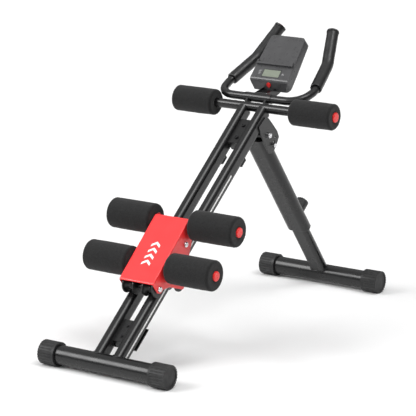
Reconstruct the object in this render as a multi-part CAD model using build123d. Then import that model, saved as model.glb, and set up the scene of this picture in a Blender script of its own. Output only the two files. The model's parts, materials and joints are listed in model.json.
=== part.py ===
from build123d import *
import math
import os

# Ab crunch machine: two inclined rails on a front foot, a roller carriage with knee pads,
# a folding rear leg of adjustable length, a handlebar and a counter console.
# Millimetres. X = across, Y = from the front foot to the rear foot, Z = up.
# The origin is on the floor, midway between the feet, in the plane of symmetry.

# ---- driving dimensions -------------------------------------------------------------------
foot_spread = 1172.0          # distance between the axes of the two foot tubes
foot_tube_radius = 28.5
foot_cap_radius = 35.5        # also the height of the foot axes over the floor
foot_half_width = 219.0       # outer face of a foot cap
foot_cap_length = 55.0
foot_cap_end = 5.0            # thickness of a cap's end wall
foot_cap_flutes = 26
tube_wall = 2.0

rail_angle = 38.2             # slope of the rails over the floor, degrees
rail_width = 30.0             # flat-oval section, across X
rail_depth = 50.0             # flat-oval section, square to the slope
rail_x = 34.0                 # centre of each rail
rail_top = 972.0              # upper end, measured along the slope from the front foot axis
rail_cap = 2.0                # plate that closes a rail's upper end

crossbar_s, crossbar_n = 980.0, 5.7
pad_tube_radius = 14.0
pad_bore_play = 0.3
pad_end_play = 0.4
arm_pad_radius = 39.7
arm_pad_inner, arm_pad_outer = 138.0, 282.0
pad_edge = 8.0

knee_pad_radius = 45.0
knee_pad_inner, knee_pad_outer = 67.5, 219.5
knee_tube_lower_at = (324.5, 48.7)
knee_tube_upper_at = (480.6, 55.4)
cap_radius = 15.0
cap_flange = 2.0
cap_dome = 3.5

cover_half_width = 60.0
cover_sheet = 2.5
cover_bend = 4.0
roller_radius = 26.0
roller_width = 40.0
roller_offset = 38.0          # roller axes off the rail centreline
roller_upper_s = (254.0, 421.0)
roller_under_s = 337.0
groove_play = 0.3
axle_radius = 5.0
axle_play = 0.08
axle_spacer_radius = 8.0
bolt_head_radius = 8.5
bolt_head_height = 6.0
pivot_head_height = 9.0
nut_height = 5.0

sector_plate_sheet = 4.0
leg_pivot_s, leg_pivot_n = 926.5, -54.0
lock_arc_radius = 43.0
lock_hole_angles = (0.0, 15.0, 34.0)
lock_hole_radius = 4.0

leg_outer_size = (80.0, 40.0)     # flat-oval section: across X, then square to the leg
leg_inner_size = (60.0, 30.0)
leg_outer_from, leg_outer_to = 14.0, 435.0
leg_inner_from = 300.0
leg_ear_x, leg_ear_sheet, leg_ear_radius = 40.0, 4.0, 16.0
knob_at, knob_radius, knob_base, knob_top = 389.0, 20.0, 32.0, 63.0
knob_flutes = 16

sleeve_y, sleeve_z = 204.0, 671.0
sleeve_radius, sleeve_half = 14.5, 47.0
bar_radius = 12.5
grip_radius = 18.5
bar_corners = ((142, 204, 671), (154, 272, 694), (128, 391, 755), (96, 475, 842))
bar_bend_radii = (58, 60, 80)

console_fold_y, console_fold_z = 255.0, 717.0
console_slope = 45.0
console_length = 168.0
console_depth_top, console_depth_low = 30.0, 38.0
fold_radius = 12.0
ledge_at, ledge_thickness, ledge_height = 54.0, 7.0, 8.0
lcd_half_width, lcd_low, lcd_high = 29.5, 13.5, 39.0
button_radius, button_point_radius, button_drop = 7.0, 3.0, 6.0
button_from_fold = 15.0
button_play = 0.3

# ---- working planes: local x and y lie in the plane of symmetry, local z is world X ---------


def side_plane(y, z, slope):
    """Plane in the symmetry plane whose local x climbs at the given slope."""
    angle = math.radians(slope)
    return Plane(origin=(0, y, z), x_dir=(0, math.cos(angle), math.sin(angle)), z_dir=(1, 0, 0))


def world(plane, along, off, x=0.0):
    return plane.from_local_coords(Vector(along, off, x))


rails = side_plane(-foot_spread / 2, foot_cap_radius, rail_angle)
leg_pivot = world(rails, leg_pivot_s, leg_pivot_n)
leg_reach = Vector(0, foot_spread / 2, foot_cap_radius) - leg_pivot
leg_length = leg_reach.length
leg = side_plane(leg_pivot.Y, leg_pivot.Z, math.degrees(math.atan2(leg_reach.Z, leg_reach.Y)))
console = side_plane(console_fold_y, console_fold_z, console_slope)
floor_side = side_plane(0, 0, 0)


# ---- helpers -------------------------------------------------------------------------------


def rod(plane, along, off, radius, x_from, x_to):
    """Solid cylinder along X."""
    middle = (x_from + x_to) / 2
    return plane * Pos(along, off, middle) * Cylinder(radius, x_to - x_from)


def tube(plane, along, off, outer, inner, x_from, x_to):
    return rod(plane, along, off, outer, x_from, x_to) - rod(plane, along, off, inner, x_from - 1, x_to + 1)


def block(plane, along, off, x):
    """Box from three (low, high) pairs."""
    size = [high - low for low, high in (along, off, x)]
    centre = [(high + low) / 2 for low, high in (along, off, x)]
    return plane * Pos(*centre) * Box(*size)


def side_sheet(plane, points, x_from, x_to, corner=0.0):
    """Outline in the side plane, extruded along X."""
    outline = make_face(Polyline(*points, close=True))
    if corner:
        outline = fillet(outline.vertices(), corner)
    return plane * Pos(0, 0, x_from) * extrude(outline, x_to - x_from, dir=(0, 0, 1))


def oval(plane, along_from, along_to, across, depth, x=0.0):
    """Flat-oval bar that runs along the plane's local x; across is its size in X."""
    section = SlotOverall(across, depth) if across > depth else SlotOverall(depth, across, rotation=90)
    start = Plane(origin=world(plane, along_from, 0, x), x_dir=(1, 0, 0), z_dir=plane.x_dir)
    return start * extrude(section, along_to - along_from)


def mirrored(part):
    return mirror(part, about=Plane.YZ)


def fluted(radius, count, groove):
    """Round outline with grooves; a rib, not a groove, stands on each axis."""
    outline = Circle(radius)
    for index in range(count):
        angle = 360.0 * (index + 0.5) / count
        outline -= Rot(0, 0, angle) * Pos(radius + groove * 0.35, 0) * Circle(groove)
    return outline


def write(name, *solids):
    shape = solids[0] if len(solids) == 1 else Compound(children=list(solids))
    export_step(shape, f"parts/{name}.step")


os.makedirs("parts", exist_ok=True)

# ---- feet ----------------------------------------------------------------------------------


def foot_cap(y):
    """Ribbed end cap on the +X end of a foot."""
    foot = side_plane(y, foot_cap_radius, 0)
    inner_rim = foot_half_width - foot_cap_length
    collar = 8.0
    ribs = extrude(fluted(foot_cap_radius, foot_cap_flutes, 2.2), foot_cap_length - collar)
    body = foot * Pos(0, 0, inner_rim + collar) * ribs
    body += rod(foot, 0, 0, foot_cap_radius, inner_rim, inner_rim + collar)
    body -= rod(foot, 0, 0, foot_tube_radius, inner_rim - 1, foot_half_width - foot_cap_end)
    return body - rod(foot, 0, 0, foot_cap_radius - 7, foot_half_width - 1.5, foot_half_width + 1)


for foot_name, foot_y in (("front", -foot_spread / 2), ("rear", foot_spread / 2)):
    foot_plane = side_plane(foot_y, foot_cap_radius, 0)
    tube_end = foot_half_width - foot_cap_end
    bore = foot_tube_radius - tube_wall
    write(f"{foot_name}_foot_tube", tube(foot_plane, 0, 0, foot_tube_radius, bore, -tube_end, tube_end))
    cap = foot_cap(foot_y)
    write(f"{foot_name}_foot_cap_right", cap)
    write(f"{foot_name}_foot_cap_left", mirrored(cap))

front_foot_solid = rod(rails, 0, 0, foot_tube_radius, -foot_half_width, foot_half_width)

# ---- rails, crossbar and brackets ------------------------------------------------------------

crossbar_solid = rod(rails, crossbar_s, crossbar_n, pad_tube_radius, -arm_pad_outer, arm_pad_outer)
rail_solid = oval(rails, 0, rail_top, rail_width, rail_depth, rail_x)
rail_bore = oval(
    rails, 0, rail_top - rail_cap, rail_width - 2 * tube_wall, rail_depth - 2 * tube_wall, rail_x
)
rail_right = rail_solid - rail_bore - front_foot_solid - crossbar_solid
write("rail_right", rail_right)
write("rail_left", mirrored(rail_right))
write(
    "crossbar",
    tube(rails, crossbar_s, crossbar_n, pad_tube_radius, pad_tube_radius - tube_wall,
         -arm_pad_outer, arm_pad_outer),
)

rail_inner_face = rail_x - rail_width / 2
rail_outer_face = rail_x + rail_width / 2
rail_half_depth = rail_depth / 2
both_rails = rail_solid + mirrored(rail_solid)

bracket_sheet = 3.0


def channel(low_end, high_end, bottom, top):
    """Folded sheet box between the rails, open below."""
    half = rail_inner_face
    outside = block(rails, (low_end, high_end), (bottom, top), (-half, half))
    return outside - block(rails, (low_end + bracket_sheet, high_end - bracket_sheet),
                           (bottom - 1, top - bracket_sheet), (-half + bracket_sheet, half - bracket_sheet))


lower_stop_from, lower_stop_to, lower_bracket_top = 78.0, 155.0, 5.0
lower_bracket = channel(lower_stop_from, lower_stop_to, -rail_half_depth, lower_bracket_top)
lower_bracket += block(rails, (lower_stop_from, lower_stop_to),
                       (-rail_half_depth - bracket_sheet, -rail_half_depth),
                       (-rail_outer_face, rail_outer_face))
write("lower_bracket", lower_bracket - both_rails)

upper_bracket_from, upper_bracket_to, upper_bracket_top = 832.0, 926.0, 9.0
write("upper_bracket", channel(upper_bracket_from, upper_bracket_to, 1 - rail_half_depth, upper_bracket_top))


def screw(plane, along, off, x, head_radius, head_height, out):
    """Button-head screw whose axis is square to the slope; out is +1 above, -1 below."""
    middle = off + out * head_height / 2
    head = plane * Pos(along, middle, x) * Rot(90, 0, 0) * Cylinder(head_radius, head_height)
    socket_at = off + out * head_height
    return head - plane * Pos(along, socket_at, x) * Rot(90, 0, 0) * Cylinder(head_radius * 0.4, head_height)


lower_screws_at, upper_screws_at = (98.0, 135.0), (855.0, 903.0)
bracket_screws = [screw(rails, s, lower_bracket_top, 0, 5.0, 3.0, 1) for s in lower_screws_at]
bracket_screws += [screw(rails, s, upper_bracket_top, 0, 6.5, 4.0, 1) for s in upper_screws_at]
write("bracket_screws", *bracket_screws)

bumper_from, bumper_to, bumper_half_width, bumper_depth = 778.0, 806.0, 9.0, 8.0
bumper_right = block(rails, (bumper_from, bumper_to), (-rail_half_depth - bumper_depth, -18),
                     (rail_x - bumper_half_width, rail_x + bumper_half_width)) - rail_solid
write("stop_bumpers", bumper_right, mirrored(bumper_right))

strip_from, strip_to, strip_low, strip_high, strip_thickness = 30.0, 717.0, -4.0, 2.0, 0.4
strip_right = block(rails, (strip_from, strip_to), (strip_low, strip_high),
                    (rail_outer_face, rail_outer_face + strip_thickness))
write("scale_strips", strip_right, mirrored(strip_right))

sensor_size = (8.0, 10.0, 16.0)
sensor_low = -23.0
write("count_sensor", block(rails, (lower_stop_to, lower_stop_to + sensor_size[0]),
                            (sensor_low, sensor_low + sensor_size[1]),
                            (-sensor_size[2] / 2, sensor_size[2] / 2)))

# ---- sector plates, pivot bolt and lock pin ----------------------------------------------------

sector_outline = (
    (905, 5), (949, 1.5), (959, -12), (963, -33), (969, -79), (965, -103),
    (940, -112), (920, -116), (903, -112), (895, -100), (898, -43),
)
sector_outer_face = rail_outer_face + sector_plate_sheet
sector_right = side_sheet(rails, sector_outline, rail_outer_face, sector_outer_face, 4.0)
sector_right -= rod(rails, leg_pivot_s, leg_pivot_n, axle_radius, 40, 60)
leg_lean = math.degrees(math.atan2(-leg_reach.Z, leg_reach.Y))
lock_zero = -rail_angle - leg_lean
for hole_angle in lock_hole_angles:
    turn = math.radians(lock_zero + hole_angle)
    hole_s = leg_pivot_s + lock_arc_radius * math.cos(turn)
    hole_n = leg_pivot_n + lock_arc_radius * math.sin(turn)
    sector_right -= rod(rails, hole_s, hole_n, lock_hole_radius, 40, 60)
write("sector_plate_right", sector_right)
write("sector_plate_left", mirrored(sector_right))


def bolt(plane, along, off, half_grip, head_height):
    """Through bolt along X with a domed head on the right and a nut on the left."""
    head = rod(plane, along, off, bolt_head_radius, half_grip, half_grip + head_height)
    head = fillet(head.edges().filter_by(GeomType.CIRCLE).sort_by(Axis.X)[-1], 3.5)
    head -= plane * Pos(along, off, half_grip + head_height) * extrude(
        RegularPolygon(3.2, 6), 3.0, both=True)
    nut = plane * Pos(along, off, -half_grip - nut_height) * extrude(
        RegularPolygon(bolt_head_radius, 6), nut_height)
    nut_tip = rod(plane, along, off, axle_radius, -half_grip - nut_height - 2, half_grip)
    return head + nut + nut_tip


write("pivot_bolt", bolt(rails, leg_pivot_s, leg_pivot_n, sector_outer_face, pivot_head_height))

lock_s = leg_pivot_s + lock_arc_radius * math.cos(math.radians(lock_zero))
lock_n = leg_pivot_n + lock_arc_radius * math.sin(math.radians(lock_zero))
lock_tip = leg_ear_x + leg_ear_sheet + 0.6
lock_stem_radius = lock_hole_radius - 0.3
lock_head_radius, lock_head_height = 7.0, 10.0
lock_pin = rod(rails, lock_s, lock_n, lock_stem_radius, lock_tip, sector_outer_face + 6)
lock_pin += rod(rails, lock_s, lock_n, lock_head_radius, sector_outer_face + 0.4,
                sector_outer_face + lock_head_height)
lock_pin = fillet(lock_pin.edges().filter_by(GeomType.CIRCLE).sort_by(Axis.X)[-1], 2.0)
write("lock_pin", lock_pin)

# ---- rear leg ---------------------------------------------------------------------------------

outer_across, outer_depth = leg_outer_size
inner_across, inner_depth = leg_inner_size
sleeve_play = 0.3
leg_outer_solid = oval(leg, leg_outer_from, leg_outer_to, outer_across, outer_depth)
leg_outer_bore = oval(leg, leg_outer_from + tube_wall, leg_outer_to + 1,
                      outer_across - 2 * tube_wall, outer_depth - 2 * tube_wall)
knob_stem_radius = 5.0
knob_stem_hole = leg * Pos(knob_at, outer_depth / 2, 0) * Rot(90, 0, 0) * Cylinder(
    knob_stem_radius + 0.3, outer_depth)
write("leg_outer_tube", leg_outer_solid - leg_outer_bore - knob_stem_hole)

leg_ear_to, leg_ear_corner, pivot_sleeve_radius = 70.0, 12.0, 11.0
ear = side_sheet(leg, ((-leg_ear_radius, -leg_ear_radius), (leg_ear_to, -leg_ear_radius),
                       (leg_ear_to, leg_ear_radius), (-leg_ear_radius, leg_ear_radius)),
                 leg_ear_x - 8, leg_ear_x + leg_ear_sheet, leg_ear_corner)
ear -= block(leg, (-40, leg_outer_from), (-40, 40), (0, leg_ear_x))
ear += rod(leg, 0, 0, pivot_sleeve_radius, leg_ear_x + leg_ear_sheet, rail_outer_face - 0.3)
ear -= leg_outer_solid
ear -= rod(leg, 0, 0, axle_radius + axle_play, 20, 60)
pivot_sleeve = tube(leg, 0, 0, pivot_sleeve_radius, axle_radius + axle_play, -leg_ear_x, leg_ear_x)
write("leg_yoke", ear + pivot_sleeve + mirrored(ear))

guide_depth, guide_rim = 60.0, 5.0
guide = oval(leg, leg_outer_to - guide_depth, leg_outer_to,
             outer_across - 2 * tube_wall, outer_depth - 2 * tube_wall)
guide += oval(leg, leg_outer_to, leg_outer_to + guide_rim, outer_across, outer_depth)
guide -= oval(leg, leg_outer_to - guide_depth - 1, leg_outer_to + guide_rim + 1,
              inner_across + 2 * sleeve_play, inner_depth + 2 * sleeve_play)
write("leg_guide_sleeve", guide - knob_stem_hole)

leg_inner_solid = oval(leg, leg_inner_from, leg_length, inner_across, inner_depth)
leg_inner_bore = oval(leg, leg_inner_from - 1, leg_length, inner_across - 2 * tube_wall,
                      inner_depth - 2 * tube_wall)
rear_foot_solid = rod(leg, leg_length, 0, foot_tube_radius, -foot_half_width, foot_half_width)
leg_inner = leg_inner_solid - leg_inner_bore - rear_foot_solid
height_steps, height_pitch, height_first = 6, 30.0, knob_at - 50.0
for step in range(height_steps):
    hole_at = height_first + height_pitch * step
    leg_inner -= leg * Pos(hole_at, inner_depth / 2, 0) * Rot(90, 0, 0) * Cylinder(knob_stem_radius, 8)
write("leg_inner_tube", leg_inner)


def leg_round(radius, low, high):
    """Cylinder square to the leg, centred on the height knob."""
    return leg * Pos(knob_at, (low + high) / 2, 0) * Rot(90, 0, 0) * Cylinder(radius, high - low)


boss_radius = 11.0
boss = leg_round(boss_radius, outer_depth / 2, knob_base - 1) - leg_round(knob_stem_radius + 0.3, 10, 40)
write("height_knob_boss", boss)

knob_face = Plane(origin=world(leg, knob_at, knob_base), x_dir=(1, 0, 0), z_dir=leg.y_dir)
knob = knob_face * extrude(fluted(knob_radius, knob_flutes, 2.4), knob_top - knob_base)
knob -= leg_round(knob_radius - 5, knob_top - 1.5, knob_top + 1)
knob += leg_round(knob_stem_radius, inner_depth / 2 + 0.5, knob_base)
write("height_knob", knob)

# ---- pads --------------------------------------------------------------------------------------


def pad(along, off, radius, inner, outer):
    """Foam roller with rounded rims on the +X side."""
    body = rod(rails, along, off, radius, inner, outer - pad_end_play)
    body = fillet(body.edges().filter_by(GeomType.CIRCLE), pad_edge)
    return body - rod(rails, along, off, pad_tube_radius + pad_bore_play, inner - 1, outer + 1)


def end_cap(along, off, end):
    """Plastic plug with a domed flange on the +X end of a pad tube."""
    cap = rod(rails, along, off, cap_radius, end, end + cap_flange + cap_dome)
    cap = fillet(cap.edges().filter_by(GeomType.CIRCLE).sort_by(Axis.X)[-1], cap_dome)
    return cap + rod(rails, along, off, pad_tube_radius - tube_wall, end - 12, end)


arm_pad = pad(crossbar_s, crossbar_n, arm_pad_radius, arm_pad_inner, arm_pad_outer)
write("arm_pad_right", arm_pad)
write("arm_pad_left", mirrored(arm_pad))
arm_cap = end_cap(crossbar_s, crossbar_n, arm_pad_outer)
write("arm_pad_caps", arm_cap, mirrored(arm_cap))

knee_caps = []
for level, (tube_s, tube_n) in (("lower", knee_tube_lower_at), ("upper", knee_tube_upper_at)):
    write(f"knee_tube_{level}", tube(rails, tube_s, tube_n, pad_tube_radius, pad_tube_radius - tube_wall,
                                     -knee_pad_outer, knee_pad_outer))
    knee_pad = pad(tube_s, tube_n, knee_pad_radius, knee_pad_inner, knee_pad_outer)
    write(f"knee_pad_{level}_right", knee_pad)
    write(f"knee_pad_{level}_left", mirrored(knee_pad))
    knee_cap = end_cap(tube_s, tube_n, knee_pad_outer)
    knee_caps += [knee_cap, mirrored(knee_cap)]
write("knee_pad_caps", *knee_caps)

# ---- carriage ------------------------------------------------------------------------------------

cover_top = ((241, 74), (478, 82))
cover_outline = (
    cover_top[0], (241, 34), (252, 20), (266, 19), (292, -1), (330, -60), (346, -60), (422, 0),
    (440, 10), (456, 22), (494, 46), (497, 70), cover_top[1],
)
cover_inside = (
    (200, cover_top[0][1] - cover_sheet - 1.4), (520, cover_top[1][1] - cover_sheet + 1.4),
    (520, -90), (200, -90),
)
cover = side_sheet(rails, cover_outline, -cover_half_width, cover_half_width, 6.0)
long_edges = [edge for edge in cover.edges().filter_by(GeomType.LINE)
              if edge.length > 200 and abs(abs(edge.center().X) - cover_half_width) < 0.1]
cover = fillet(long_edges, cover_bend)
cover_inner_face = cover_half_width - cover_sheet
cover -= side_sheet(rails, cover_inside, -cover_inner_face, cover_inner_face)
axles = [(s, roller_offset) for s in roller_upper_s] + [(roller_under_s, -roller_offset)]
for axle_s, axle_n in axles:
    cover -= rod(rails, axle_s, axle_n, axle_radius, -cover_half_width - 1, cover_half_width + 1)
for tube_s, tube_n in (knee_tube_lower_at, knee_tube_upper_at):
    cover -= rod(rails, tube_s, tube_n, pad_tube_radius, -cover_half_width - 1, cover_half_width + 1)
write("carriage_cover", cover)

roller_inner = rail_x - roller_width / 2
roller_outer = rail_x + roller_width / 2
groove_radius = rail_width / 2 + groove_play
groove_centre = roller_offset - (rail_half_depth - rail_width / 2)
side_gap = 0.3
spacers = []
axle_bolts = []
for (axle_s, axle_n), place in zip(axles, ("front", "rear", "under")):
    roller = rod(rails, axle_s, axle_n, roller_radius, roller_inner, roller_outer)
    roller = fillet(roller.edges().filter_by(GeomType.CIRCLE), 1.5)
    roller -= rails * Pos(axle_s, axle_n, rail_x) * Torus(groove_centre, groove_radius)
    roller -= rod(rails, axle_s, axle_n, axle_radius + axle_play, 0, 60)
    write(f"roller_{place}_right", roller)
    write(f"roller_{place}_left", mirrored(roller))
    spacers.append(tube(rails, axle_s, axle_n, axle_spacer_radius, axle_radius,
                        -roller_inner + side_gap, roller_inner - side_gap))
    washer = tube(rails, axle_s, axle_n, axle_spacer_radius, axle_radius,
                  roller_outer + side_gap, cover_inner_face)
    spacers += [washer, mirrored(washer)]
    axle_bolts.append(bolt(rails, axle_s, axle_n, cover_half_width, bolt_head_height))
write("axle_spacers", *spacers)
write("axle_bolts", *axle_bolts)
magnet_top = -roller_offset + axle_spacer_radius
write("count_magnet", block(rails, (roller_under_s - 5, roller_under_s + 5),
                            (magnet_top - 1.5, magnet_top + 4), (-6, 6))
      - rod(rails, roller_under_s, -roller_offset, axle_spacer_radius, -10, 10))

# ---- handlebar -----------------------------------------------------------------------------------

sleeve_gap = Vector(0, sleeve_y, sleeve_z) - world(rails, crossbar_s, crossbar_n)
link_middle = Vector(0, sleeve_y, sleeve_z) - sleeve_gap * 0.5
link_slope = math.degrees(math.atan2(sleeve_gap.Z, sleeve_gap.Y))
link_plane = side_plane(link_middle.Y, link_middle.Z, link_slope)
link_width, link_sheet, link_x = 22.0, 6.0, 29.0
link = extrude(SlotCenterToCenter(sleeve_gap.length, link_width), link_sheet)
links = link_plane * Pos(0, 0, link_x) * link
links += mirrored(links)
sleeve = rod(floor_side, sleeve_y, sleeve_z, sleeve_radius, -sleeve_half, sleeve_half)
sleeve += links
sleeve -= rod(floor_side, sleeve_y, sleeve_z, bar_radius, -sleeve_half - 1, sleeve_half + 1)
write("handlebar_sleeve", sleeve - crossbar_solid)


def bent_bar(points, radii, radius):
    path = FilletPolyline(*points, radius=radii)
    start = Plane(origin=path @ 0, z_dir=path % 0)
    return sweep(start * Circle(radius), path=path)


bar_start = (3, sleeve_y, sleeve_z)
bar = bent_bar((bar_start,) + bar_corners, bar_bend_radii, bar_radius)
bar -= bent_bar((bar_start,) + bar_corners, bar_bend_radii, bar_radius - tube_wall)
write("handlebar_right", bar)
write("handlebar_left", mirrored(bar))

grip_lead = 16.0
second, third, top = (Vector(*corner) for corner in bar_corners[1:])
grip_start = second + (third - second).normalized() * grip_lead
grip_points = [tuple(point) for point in (grip_start, third, top)]
grip = bent_bar(grip_points, bar_bend_radii[2:], grip_radius)
grip -= bent_bar(grip_points, bar_bend_radii[2:], bar_radius)
write("grip_right", grip)
write("grip_left", mirrored(grip))

grip_end = Plane(origin=top, z_dir=top - third)
grip_cap_height = 5.0
grip_cap = extrude(Circle(grip_radius), grip_cap_height)
grip_cap = grip_end * fillet(grip_cap.edges().sort_by(Axis.Z)[-1], cap_dome)
grip_cap += grip_end * Pos(0, 0, -5) * Cylinder(bar_radius - tube_wall, 10)
write("grip_caps", grip_cap, mirrored(grip_cap))

# ---- console ---------------------------------------------------------------------------------------

skirt_foot = (-18.0, -38.0)
housing_outline = (
    (0, 0), (console_length, 0), (console_length, -24), (console_length - 6, -console_depth_top),
    (10, -console_depth_low), skirt_foot,
)
wall = 2.6
housing_inside = (
    (3, -wall), (console_length - wall, -wall), (console_length - wall, -22),
    (console_length - 8, -console_depth_top + wall), (9, -console_depth_low + wall), (-14, -36),
)
outline = make_face(Polyline(*housing_outline, close=True))
outline = fillet(outline.vertices().sort_by(Axis.X)[1], fold_radius)
outline = fillet(outline.vertices().sort_by(Axis.X)[0], 5.0)
housing = console * Pos(0, 0, -70) * extrude(outline, 140, dir=(0, 0, 1))
face_half = ((50, -24), (67, -2), (66, 56), (61, console_length))
face_corner = 13.0
face_outline = make_face(Polyline(*face_half, *[(-x, along) for x, along in reversed(face_half)], close=True))
face_outline = fillet(face_outline.vertices(), face_corner)
face_plane = Plane(origin=world(console, 0, -60), x_dir=(1, 0, 0), z_dir=console.y_dir)
housing = housing & (face_plane * extrude(face_outline, 90))
hollow = side_sheet(console, housing_inside, -48, 48)
ledge_half, ledge_tab, ledge_tab_length = 60.0, 4.0, 15.0
ledge = block(console, (ledge_at, ledge_at + ledge_thickness), (-1, ledge_height), (-ledge_half, ledge_half))
for tab in ((-ledge_half - ledge_tab, -ledge_half), (ledge_half, ledge_half + ledge_tab)):
    ledge += block(console, (ledge_at, ledge_at + ledge_tab_length), (-1, ledge_height), tab)
window = block(console, (lcd_low, lcd_high), (-5.4, -0.4), (-lcd_half_width, lcd_half_width))
window_opening = block(console, (lcd_low, lcd_high), (-6, 1), (-lcd_half_width, lcd_half_width))

skirt_length = math.hypot(*skirt_foot)
skirt_along, skirt_off = (value / skirt_length for value in skirt_foot)
button_centre = world(console, skirt_along * button_from_fold, skirt_off * button_from_fold)
button_out = console.x_dir * skirt_off - console.y_dir * skirt_along
button_plane = Plane(origin=button_centre, x_dir=(1, 0, 0), z_dir=button_out)
shell = housing + ledge - hollow - window_opening

def teardrop(spread):
    """Round above, pointed below."""
    round_end = Circle(button_radius + spread)
    point = Pos(0, -button_drop) * Circle(button_point_radius + spread)
    return make_hull((round_end + point).edges())


shell -= button_plane * extrude(teardrop(button_play), 8, both=True)
below_seam = side_sheet(console, ((-60, -28), (-8, -22), (200, -14), (200, -90), (-60, -90)), -80, 80)
write("console_front", shell - below_seam)
write("console_back", shell & below_seam)
write("lcd_window", window)
board_low, board_high, board_half, board_back, board_front = 8.0, 50.0, 46.0, -7.0, -5.4
write("circuit_board", block(console, (board_low, board_high), (board_back, board_front),
                             (-board_half, board_half)))
battery_radius, battery_length, batteries_at = 5.25, 44.5, (24.0, 36.0)
write("batteries", *[rod(console, along, board_back - battery_radius, battery_radius,
                         -battery_length / 2, battery_length / 2) for along in batteries_at])
button_depth, button_height, flange_depth, flange_sheet = 3.8, 7.0, 5.5, 1.5
button = button_plane * Pos(0, 0, -button_depth) * extrude(teardrop(0), button_height)
button += button_plane * Pos(0, 0, -flange_depth) * extrude(teardrop(1.2), flange_sheet)
write("console_button", button)

cheek_outline = ((204, 682), (204, 660), (262, 666), (292, 676), (306, 700), (262, 692))
cheek_inner, cheek_outer = 19.0, 22.0
cheek = side_sheet(floor_side, cheek_outline, cheek_inner, cheek_outer)
bridge = block(floor_side, (228, 264), (683, 686), (-cheek_outer, cheek_outer))
console_bracket = cheek + mirrored(cheek) + bridge
console_bracket -= housing
write("console_bracket",
      console_bracket - rod(floor_side, sleeve_y, sleeve_z, sleeve_radius, -sleeve_half, sleeve_half))
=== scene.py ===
import json
import math

import bpy
from mathutils import Matrix, Vector, noise


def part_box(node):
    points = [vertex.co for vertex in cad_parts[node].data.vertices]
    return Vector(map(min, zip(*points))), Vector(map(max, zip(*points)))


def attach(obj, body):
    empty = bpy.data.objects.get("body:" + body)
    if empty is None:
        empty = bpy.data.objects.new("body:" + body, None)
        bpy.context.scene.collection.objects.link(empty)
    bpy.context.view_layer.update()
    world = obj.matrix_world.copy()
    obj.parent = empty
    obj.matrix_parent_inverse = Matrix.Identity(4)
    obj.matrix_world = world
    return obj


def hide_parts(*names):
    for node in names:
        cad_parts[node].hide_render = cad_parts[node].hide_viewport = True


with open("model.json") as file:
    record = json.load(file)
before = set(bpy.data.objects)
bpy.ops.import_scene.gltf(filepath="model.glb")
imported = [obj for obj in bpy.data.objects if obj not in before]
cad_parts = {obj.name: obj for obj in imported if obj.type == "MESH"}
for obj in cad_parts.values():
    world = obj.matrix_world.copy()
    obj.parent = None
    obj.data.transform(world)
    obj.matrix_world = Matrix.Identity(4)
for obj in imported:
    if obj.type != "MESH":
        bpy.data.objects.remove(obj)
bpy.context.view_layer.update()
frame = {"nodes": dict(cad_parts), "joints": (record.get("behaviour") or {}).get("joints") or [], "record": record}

# Ab crunch machine: looks only. Metres, in the frame's axes: +X across, +Y from the front foot
# to the rear foot, +Z up. Places come from the frame's nodes and joints.

nodes = frame["nodes"]
joints = {joint["name"]: joint for joint in frame["joints"]}
mm = 0.001


def centre(node):
    low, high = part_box(node)
    return (low + high) / 2


# ---- rail coordinates: s climbs along the rails, n is square to them, x is world X --------

slope = Vector(joints["carriage_slide"]["axis"])
square = Vector((0, -slope.z, slope.y))
rail_origin = centre("front_foot_tube")


def rail_point(s, n, x=0.0):
    return rail_origin + slope * s + square * n + Vector((x, 0, 0))


# ---- materials ----------------------------------------------------------------------------


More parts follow.
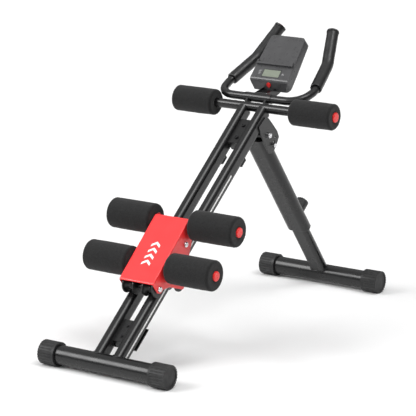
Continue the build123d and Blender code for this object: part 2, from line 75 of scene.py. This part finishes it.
class Finish:
    """A Principled material whose uniform values sit on the shader's own sockets."""

    def __init__(self, name, color, roughness, **sockets):
        self.material = bpy.data.materials.new(name)
        self.material.use_nodes = True
        self.tree = self.material.node_tree
        self.shader = self.tree.nodes["Principled BSDF"]
        self.color = tuple(color) + (1.0,)
        self.roughness = roughness
        self.shader.inputs["Base Color"].default_value = self.color
        self.shader.inputs["Roughness"].default_value = roughness
        for socket, value in sockets.items():
            self.shader.inputs[socket.replace("_", " ")].default_value = value
        self.place = self.node("ShaderNodeTexCoord").outputs["Object"]

    def node(self, kind, **settings):
        made = self.tree.nodes.new(kind)
        for key, value in settings.items():
            setattr(made, key, value)
        return made

    def link(self, source, target):
        self.tree.links.new(source, target)

    def noise(self, scale, detail=4.0, roughness=0.5):
        made = self.node("ShaderNodeTexNoise")
        self.link(self.place, made.inputs["Vector"])
        made.inputs["Scale"].default_value = scale
        made.inputs["Detail"].default_value = detail
        made.inputs["Roughness"].default_value = roughness
        return made.outputs["Fac"]

    def spread(self, source, low, high):
        """Maps the middle of a noise to low..high."""
        made = self.node("ShaderNodeMapRange")
        self.link(source, made.inputs["Value"])
        made.inputs["From Min"].default_value = 0.3
        made.inputs["From Max"].default_value = 0.7
        made.inputs["To Min"].default_value = low
        made.inputs["To Max"].default_value = high
        return made.outputs["Result"]

    def mix(self, factor, first, second):
        """Mixes two colours, each a tuple or a socket."""
        made = self.node("ShaderNodeMix", data_type="RGBA")
        self.link(factor, made.inputs["Factor"])
        for socket, value in (("A", first), ("B", second)):
            target = [entry for entry in made.inputs if entry.name == socket and entry.type == "RGBA"][0]
            if isinstance(value, tuple):
                target.default_value = value
            else:
                self.link(value, target)
        return [entry for entry in made.outputs if entry.type == "RGBA"][0]

    def mottle(self, scale, amount):
        """Uneven colour: lighter and darker by the given share."""
        dark = tuple(value * (1 - amount) for value in self.color[:3]) + (1.0,)
        light = tuple(min(1.0, value * (1 + amount)) for value in self.color[:3]) + (1.0,)
        mixed = self.mix(self.spread(self.noise(scale), 0.0, 1.0), dark, light)
        self.link(mixed, self.shader.inputs["Base Color"])
        return self

    def uneven_gloss(self, scale, amount):
        low, high = self.roughness - amount, self.roughness + amount
        self.link(self.spread(self.noise(scale, 3.0), low, high), self.shader.inputs["Roughness"])
        return self

    def bumps(self, *layers):
        """Bump layers, each (height socket, strength, distance in metres)."""
        normal = None
        for height, strength, distance in layers:
            made = self.node("ShaderNodeBump")
            made.inputs["Strength"].default_value = strength
            made.inputs["Distance"].default_value = distance
            self.link(height, made.inputs["Height"])
            if normal:
                self.link(normal, made.inputs["Normal"])
            normal = made.outputs["Normal"]
        self.link(normal, self.shader.inputs["Normal"])
        return self


def black_paint():
    """Gloss powder coat with a faint orange peel."""
    finish = Finish("black_paint", (0.006, 0.006, 0.0064), 0.29, Specular_IOR_Level=0.42,
                    Coat_Weight=0.12, Coat_Roughness=0.14)
    finish.mottle(14.0, 0.15).uneven_gloss(32.0, 0.04)
    finish.bumps((finish.noise(70.0, 2.0), 0.02, 0.3 * mm))
    return finish.material


def red_paint():
    finish = Finish("red_paint", (0.9, 0.028, 0.03), 0.36, Coat_Weight=0.25, Coat_Roughness=0.2)
    finish.mottle(9.0, 0.05).uneven_gloss(28.0, 0.05)
    finish.bumps((finish.noise(620.0, 2.0), 0.07, 0.4 * mm))
    return finish.material


def foam(name, shade):
    """Skinless closed-cell foam: fine cells over a soft unevenness."""
    finish = Finish(name, (shade, shade, shade * 1.02), 0.93, Specular_IOR_Level=0.22,
                    Sheen_Weight=0.12, Sheen_Roughness=0.55)
    cells = finish.node("ShaderNodeTexVoronoi")
    finish.link(finish.place, cells.inputs["Vector"])
    cells.inputs["Scale"].default_value = 620.0
    finish.mottle(240.0, 0.34)
    finish.bumps((cells.outputs["Distance"], 0.5, 0.5 * mm), (finish.noise(110.0, 5.0, 0.65), 0.5, 0.9 * mm))
    return finish.material


def grip_skin():
    """Smooth moulded skin on foam: soft sheen that breaks into streaks."""
    finish = Finish("grip_skin", (0.008, 0.008, 0.0085), 0.36, Specular_IOR_Level=0.5)
    finish.mottle(40.0, 0.2).uneven_gloss(65.0, 0.09)
    finish.bumps((finish.noise(900.0, 3.0), 0.12, 0.2 * mm), (finish.noise(95.0, 3.0), 0.2, 0.6 * mm))
    return finish.material


def red_plastic():
    finish = Finish("red_plastic", (0.8, 0.022, 0.02), 0.3, Coat_Weight=0.2, Coat_Roughness=0.15)
    finish.mottle(60.0, 0.06).uneven_gloss(90.0, 0.05)
    return finish.bumps((finish.noise(900.0, 2.0), 0.12, 0.15 * mm)).material


def ribbed_rubber():
    finish = Finish("ribbed_rubber", (0.016, 0.016, 0.0165), 0.52, Specular_IOR_Level=0.42)
    finish.mottle(45.0, 0.25).uneven_gloss(60.0, 0.09)
    finish.bumps((finish.noise(1100.0, 4.0, 0.6), 0.22, 0.2 * mm))
    return finish.material


def black_plastic(name, color, roughness):
    """Moulded plastic with a spark-eroded grain."""
    finish = Finish(name, color, roughness, Specular_IOR_Level=0.45)
    finish.mottle(30.0, 0.08).uneven_gloss(55.0, 0.05)
    finish.bumps((finish.noise(700.0, 2.0), 0.03, 0.08 * mm))
    return finish.material


def bright_steel():
    finish = Finish("bright_steel", (0.72, 0.72, 0.73), 0.2, Metallic=1.0)
    finish.mottle(90.0, 0.1).uneven_gloss(150.0, 0.08)
    return finish.bumps((finish.noise(1300.0, 3.0), 0.12, 0.1 * mm)).material


def lcd_glass():
    """Grey-green display behind a clear window."""
    finish = Finish("lcd_glass", (0.2, 0.225, 0.175), 0.16, Coat_Weight=0.6, Coat_Roughness=0.05)
    return finish.mottle(55.0, 0.05).uneven_gloss(80.0, 0.04).material


def printed_white():
    finish = Finish("printed_white", (0.86, 0.86, 0.85), 0.45)
    return finish.mottle(120.0, 0.05).uneven_gloss(140.0, 0.06).material


def board_green():
    finish = Finish("board_green", (0.01, 0.09, 0.035), 0.4)
    return finish.mottle(220.0, 0.4).material


finishes = {
    "black_steel": black_paint(),
    "red_steel": red_paint(),
    "bolt_steel": bright_steel(),
    "pad_foam": foam("pad_foam", 0.013),
    "grip_foam": grip_skin(),
    "red_plastic": red_plastic(),
    "black_plastic": black_plastic("black_plastic", (0.02, 0.02, 0.021), 0.42),
    "roller_plastic": black_plastic("roller_plastic", (0.011, 0.011, 0.0115), 0.34),
    "cap_rubber": ribbed_rubber(),
    "bumper_rubber": black_plastic("bumper_rubber", (0.014, 0.014, 0.014), 0.7),
    "lcd": lcd_glass(),
    "board": board_green(),
    "cell": bright_steel(),
    "magnet": bright_steel(),
    "white_strip": printed_white(),
}
console_grey = black_plastic("console_grey", (0.055, 0.055, 0.057), 0.3)
# Steel darkened as painted shade: it stands for the shade in the recess between the rails, where the bracket
# screws sit. The axle spacers use the same darkened steel.
painted_shade_steel = Finish("painted_shade_steel", (0.05, 0.05, 0.052), 0.38, Metallic=1.0)
painted_shade_steel.mottle(80.0, 0.2).uneven_gloss(120.0, 0.1)
grey_print = Finish("grey_print", (0.48, 0.48, 0.49), 0.5).mottle(150.0, 0.08)

for part in frame["record"]["subparts"]:
    node = nodes[part["node"]]
    chosen = finishes[part["material_slot"]]
    if part["node"] in ("console_front", "console_back"):
        chosen = console_grey
    # painted shade: the bracket screws and the axle spacers get the darkened steel instead of bright steel
    elif part["node"] in ("bracket_screws", "axle_spacers"):
        chosen = painted_shade_steel.material
    node.data.materials.clear()
    node.data.materials.append(chosen)

# ---- mesh helpers ---------------------------------------------------------------------------


def add_object(name, vertices, faces, material, smooth=True):
    mesh = bpy.data.meshes.new(name)
    mesh.from_pydata([tuple(vertex) for vertex in vertices], [], faces)
    mesh.update()
    if smooth:
        mesh.shade_smooth()
    mesh.materials.append(material)
    made = bpy.data.objects.new(name, mesh)
    bpy.context.collection.objects.link(made)
    return made


def lathe(name, profile, middle, material, segments=112):
    """Closed ring about X: profile is a closed loop of (x, radius) round the section."""
    vertices = []
    for x, radius in profile:
        for step in range(segments):
            turn = 2 * math.pi * step / segments
            vertices.append(middle + Vector((x, radius * math.cos(turn), radius * math.sin(turn))))
    rows = len(profile)
    faces = []
    for row in range(rows):
        after = (row + 1) % rows
        for step in range(segments):
            beside = (step + 1) % segments
            faces.append((row * segments + step, row * segments + beside,
                          after * segments + beside, after * segments + step))
    return add_object(name, vertices, faces, material)


def arc(centre_x, centre_r, radius, start, stop, steps):
    """Points of an arc in the (x, radius) plane; angles in degrees."""
    points = []
    for step in range(steps + 1):
        turn = math.radians(start + (stop - start) * step / steps)
        points.append((centre_x + radius * math.cos(turn), centre_r + radius * math.sin(turn)))
    return points


def roughen(made, height, size):
    """Moves each vertex along its normal by smooth noise."""
    mesh = made.data
    offsets = [noise.noise(vertex.co / size) * height for vertex in mesh.vertices]
    normals = [vertex.normal.copy() for vertex in mesh.vertices]
    for vertex, normal, offset in zip(mesh.vertices, normals, offsets):
        vertex.co += normal * offset


# ---- foam rollers -----------------------------------------------------------------------------


def foam_roller(node, body):
    """Foam tube with soft rims, a barely crowned wall and end faces that dish to the bore."""
    low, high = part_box(node)
    half = (high.x - low.x) / 2
    radius = (high.z - low.z) / 2
    bore = 14.35 * mm
    rim = 8 * mm
    crown = 0.5 * mm
    dish = 1.2 * mm
    wall = []
    columns = 36
    for step in range(1, columns):
        t = -1 + 2 * step / columns
        wall.append((t * (half - rim), radius + crown * (1 - t * t) - 0.2 * mm))
    right_rim = arc(half - rim, radius - rim, rim, 90, 0, 8)
    left_rim = arc(-half + rim, radius - rim, rim, 180, 90, 8)
    face_steps = [(radius - rim) + (bore - radius + rim) * step / 7 for step in range(1, 8)]
    right_face = [(half - dish * (1 - (r - bore) / (radius - rim - bore)), r) for r in face_steps]
    left_face = [(-x, r) for x, r in reversed(right_face)]
    inside = [(half * 0.6, bore), (0.0, bore), (-half * 0.6, bore)]
    profile = left_rim + wall + right_rim + right_face + inside + left_face
    made = lathe(f"{node}_foam", profile, (low + high) / 2, finishes["pad_foam"])
    roughen(made, 0.35 * mm, 16 * mm)
    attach(made, body)
    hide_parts(node)


for side in ("left", "right"):
    foam_roller(f"arm_pad_{side}", f"arm_pad_{side}")
    for level in ("lower", "upper"):
        foam_roller(f"knee_pad_{level}_{side}", f"knee_pad_{level}_{side}")

# ---- foam grips ---------------------------------------------------------------------------------


def foam_grip(node):
    """The grip's foam tube, remeshed finely so that its surface can be uneven."""
    made = bpy.data.objects.new(f"{node}_foam", nodes[node].data.copy())
    bpy.context.collection.objects.link(made)
    remesh = made.modifiers.new("remesh", "REMESH")
    remesh.mode = "VOXEL"
    remesh.voxel_size = 2 * mm
    soften = made.modifiers.new("soften", "SMOOTH")
    soften.factor = 0.5
    soften.iterations = 4
    evaluated = made.evaluated_get(bpy.context.evaluated_depsgraph_get())
    mesh = bpy.data.meshes.new_from_object(evaluated)
    made.modifiers.clear()
    made.data = mesh
    mesh.materials.clear()
    mesh.materials.append(finishes["grip_foam"])
    mesh.shade_smooth()
    roughen(made, 0.3 * mm, 12 * mm)
    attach(made, "frame")
    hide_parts(node)


grip_end = (96, 475, 842)         # centre of the right grip's upper end, mm
grip_bend = (128, 391, 755)       # corner of the bar below it


def grip_lip(side, sign):
    """Rolled end of the grip's skin around its red plug."""
    end = Vector((sign * grip_end[0], *grip_end[1:])) * mm
    bend = Vector((sign * grip_bend[0], *grip_bend[1:])) * mm
    axis = (end - bend).normalized()
    turn = axis.to_track_quat("X", "Z").to_matrix().to_4x4()
    profile = [(-1.5 * mm, 18.55 * mm)] + arc(3.0 * mm, 19.0 * mm, 0.6 * mm, 180, 0, 6)
    profile += [(2.0 * mm, 19.75 * mm), (0.0, 19.6 * mm), (-4.0 * mm, 18.7 * mm)]
    made = lathe(f"grip_lip_{side}", profile, Vector(), finishes["grip_foam"], 72)
    made.data.transform(Matrix.Translation(end) @ turn)
    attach(made, "frame")


for side, sign in (("left", -1), ("right", 1)):
    foam_grip(f"grip_{side}")
    grip_lip(side, sign)

# ---- edges of folded and moulded parts ----------------------------------------------------------

for name, width in (("lower_bracket", 0.8), ("upper_bracket", 0.8), ("stop_bumpers", 1.2),
                    ("console_bracket", 0.6), ("console_front", 0.7), ("console_back", 0.7),
                    ("sector_plate_left", 0.6), ("sector_plate_right", 0.6), ("carriage_cover", 0.5)):
    edge = nodes[name].modifiers.new("edge", "BEVEL")
    edge.width = width * mm
    edge.segments = 2
    edge.limit_method = "ANGLE"
    edge.angle_limit = math.radians(50)
    edge.harden_normals = True

# ---- printed marks --------------------------------------------------------------------------------


def print_marks(name, outlines, body, slot, material=None):
    """Thin raised prints, one closed outline of points each."""
    vertices = []
    faces = []
    for outline in outlines:
        faces.append(tuple(range(len(vertices), len(vertices) + len(outline))))
        vertices += outline
    made = add_object(name, vertices, faces, material or finishes[slot], smooth=False)
    skin = made.modifiers.new("thickness", "SOLIDIFY")
    skin.thickness = 0.12 * mm
    skin.offset = 1.0
    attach(made, body)


cover_front = (241 * mm, 74 * mm)     # ends of the cover's top, as (s, n)
cover_back = (478 * mm, 82 * mm)


def cover_chevrons():
    """Four white chevrons that point up the carriage cover."""
    foot = rail_point(*cover_front)
    along = (rail_point(*cover_back) - foot).normalized()
    lift = Vector((0, -along.z, along.y)) * 0.1 * mm
    half, drop, stroke, pitch, first = 15 * mm, 11 * mm, 9 * mm, 21.7 * mm, 80.5 * mm
    outlines = []
    count = 4
    for index in range(count):
        apex = first + pitch * index
        corners = ((0, apex), (-half, apex - drop), (-half, apex - drop - stroke), (0, apex - stroke),
                   (half, apex - drop - stroke), (half, apex - drop))
        outlines.append([foot + lift + along * at + Vector((x, 0, 0)) for x, at in corners])
    print_marks("cover_chevrons", outlines, "carriage", "white_strip")


def scale_ticks():
    """Graduations on the printed strips, every fifth one full width."""
    count, first, pitch, width = 68, 36, 10, 0.9 * mm
    low, short, full = -3.6 * mm, 2.6 * mm, 5.0 * mm
    strip_face = 49.42 * mm
    outlines = []
    for side in (-1, 1):
        face_x = side * strip_face
        for index in range(count):
            at = (first + pitch * index) * mm
            reach = full if index % 5 == 0 else short
            corners = ((at, low), (at + width, low), (at + width, low + reach), (at, low + reach))
            outline = [rail_point(s, n, face_x) for s, n in corners]
            outlines.append(outline if side < 0 else outline[::-1])
    print_marks("scale_ticks", outlines, "frame", "black_plastic")


display_low, display_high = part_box("lcd_window")
console_up = Vector((0, math.sqrt(0.5), math.sqrt(0.5)))
console_out = Vector((0, -math.sqrt(0.5), math.sqrt(0.5)))
display = (display_low + display_high) / 2
face_height = 2.95 * mm           # printed face over the middle of the display window


def face_patch(x_low, x_high, low, high):
    """Rectangle on the console's face, measured from the display's centre."""
    base = display + console_out * face_height
    return [base + console_up * at + Vector((x, 0, 0))
            for x, at in ((x_low, low), (x_high, low), (x_high, high), (x_low, high))]


def console_prints():
    """Unworded legend bars beside the display and a small run symbol on its other side."""
    lengths, left, top, pitch, thick = (8, 6, 8, 7), -46, 6.5, 3.8, 1.1
    symbol, stroke = ((38, -3, 3), (40.4, -1, 3), (42.8, -3, 1)), 1.2
    bars = []
    for row, length in enumerate(lengths):
        at = (top - pitch * row) * mm
        bars.append(face_patch(left * mm, (left + length) * mm, at, at + thick * mm))
    for x, low, high in symbol:
        bars.append(face_patch(x * mm, (x + stroke) * mm, low * mm, high * mm))
    print_marks("console_prints", bars, "frame", "white_strip", grey_print.material)
    half_x, half_y, width = 30.2 * mm, 13.4 * mm, 1.6 * mm
    rim = [face_patch(-half_x - width, half_x + width, half_y, half_y + width),
           face_patch(-half_x - width, half_x + width, -half_y - width, -half_y),
           face_patch(-half_x - width, -half_x, -half_y, half_y),
           face_patch(half_x, half_x + width, -half_y, half_y)]
    print_marks("display_rim", rim, "frame", "black_plastic")


cover_chevrons()
scale_ticks()
console_prints()

# ---- weld beads -----------------------------------------------------------------------------------


def weld_bead(name, path, body, thickness=2.2 * mm):
    """Rippled bead along a closed path of points."""
    curve = bpy.data.curves.new(name, "CURVE")
    curve.dimensions = "3D"
    curve.bevel_depth = thickness
    curve.bevel_resolution = 3
    spline = curve.splines.new("POLY")
    spline.points.add(len(path) - 1)
    spline.use_cyclic_u = True
    for index, (point, place) in enumerate(zip(spline.points, path)):
        point.co = (*place, 1.0)
        point.radius = 1.0 + 0.16 * math.sin(index * 1.9)
    made = bpy.data.objects.new(name, curve)
    bpy.context.collection.objects.link(made)
    solid = bpy.data.objects.new(name, bpy.data.meshes.new_from_object(
        made.evaluated_get(bpy.context.evaluated_depsgraph_get())))
    bpy.data.objects.remove(made)
    bpy.context.collection.objects.link(solid)
    solid.data.materials.append(finishes["black_steel"])
    solid.data.shade_smooth()
    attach(solid, body)


def oval_path(half_across, half_depth, steps):
    """Flat oval with its round ends on the longer side."""
    radius = min(half_across, half_depth)
    shift_x, shift_y = max(0, half_across - radius), max(0, half_depth - radius)
    points = []
    for step in range(steps):
        turn = 2 * math.pi * step / steps
        x, y = math.cos(turn), math.sin(turn)
        points.append((radius * x + math.copysign(shift_x, x), radius * y + math.copysign(shift_y, y)))
    return points


foot_tube_radius = 28.5 * mm
rail_half_section, rail_x = (15 * mm, 25 * mm), 34 * mm
leg_half_section = (30 * mm, 15 * mm)


def foot_weld(name, foot_node, along, across_axis, section, x_shift, body):
    """Bead where a tube of the given half section lands on a round foot."""
    middle = centre(foot_node)
    radius = foot_tube_radius
    path = []
    for x, off in oval_path(section[0], section[1], 132):
        reach = math.sqrt(max(radius ** 2 - off ** 2, 0.0))
        path.append(middle + along * reach + across_axis * off + Vector((x + x_shift, 0, 0)))
    weld_bead(name, path, body)


for side, x_shift in (("left", -rail_x), ("right", rail_x)):
    foot_weld(f"rail_weld_{side}", "front_foot_tube", slope, square, rail_half_section, x_shift, "frame")
leg_down = Vector(joints["leg_extend"]["axis"])
leg_square = Vector((0, -leg_down.z, leg_down.y))
foot_weld("leg_weld", "rear_foot_tube", -leg_down, leg_square, leg_half_section, 0.0, "leg_lower")

# ---- stage, light and camera ---------------------------------------------------------------------


def stage_floor():
    size = 150.0
    corners = [(-size, -size, 0), (size, -size, 0), (size, size, 0), (-size, size, 0)]
    finish = Finish("pale_floor", (0.87, 0.87, 0.87), 0.85, Specular_IOR_Level=0.1)
    finish.mottle(1.5, 0.01)
    add_object("floor", corners, [(0, 1, 2, 3)], finish.material, smooth=False)


def soft_box(name, place, target, width, height, power):
    light = bpy.data.lights.new(name, "AREA")
    light.shape = "RECTANGLE"
    light.size = width
    light.size_y = height
    light.energy = power
    made = bpy.data.objects.new(name, light)
    bpy.context.collection.objects.link(made)
    made.location = place
    made.rotation_euler = (Vector(target) - Vector(place)).to_track_quat("-Z", "Y").to_euler()


def far_light(name, toward, strength):
    """Even light from a wide, soft disc in the given direction."""
    light = bpy.data.lights.new(name, "SUN")
    light.energy = strength
    light.angle = math.radians(32)
    made = bpy.data.objects.new(name, light)
    bpy.context.collection.objects.link(made)
    made.rotation_euler = (-Vector(toward)).to_track_quat("-Z", "Y").to_euler()


def studio():
    world = bpy.data.worlds.new("studio")
    bpy.context.scene.world = world
    world.use_nodes = True
    tree = world.node_tree
    background = tree.nodes["Background"]
    direction = tree.nodes.new("ShaderNodeTexCoord").outputs["Generated"]
    split = tree.nodes.new("ShaderNodeSeparateXYZ")
    tree.links.new(direction, split.inputs["Vector"])
    dome = tree.nodes.new("ShaderNodeMapRange")
    tree.links.new(split.outputs["Z"], dome.inputs["Value"])
    for socket, value in (("From Min", 0.0), ("From Max", 1.0), ("To Min", 0.04), ("To Max", 0.8)):
        dome.inputs[socket].default_value = value
    tree.links.new(dome.outputs["Result"], background.inputs["Strength"])
    background.inputs["Color"].default_value = (1, 1, 1, 1)
    far_light("right_key", (0.45, -0.09, 0.885), 1.3)
    far_light("left_key", (-0.54, -0.6, 0.59), 1.9)
    soft_box("front_fill", (0.6, -3.2, 3.6), (0, 0, 0.4), 2.4, 1.2, 20)
    bpy.context.scene.view_settings.view_transform = "Standard"


def camera():
    """Long lens, from the front right and a little above."""
    made = bpy.data.objects.new("camera", bpy.data.cameras.new("camera"))
    bpy.context.collection.objects.link(made)
    made.location = (3.5896, -5.4146, 1.9644)
    made.rotation_euler = (math.radians(90 - 13.8), 0, math.radians(33.9))
    made.data.lens = 193.66
    made.data.sensor_width = 36.0
    bpy.context.scene.camera = made


stage_floor()
studio()
camera()
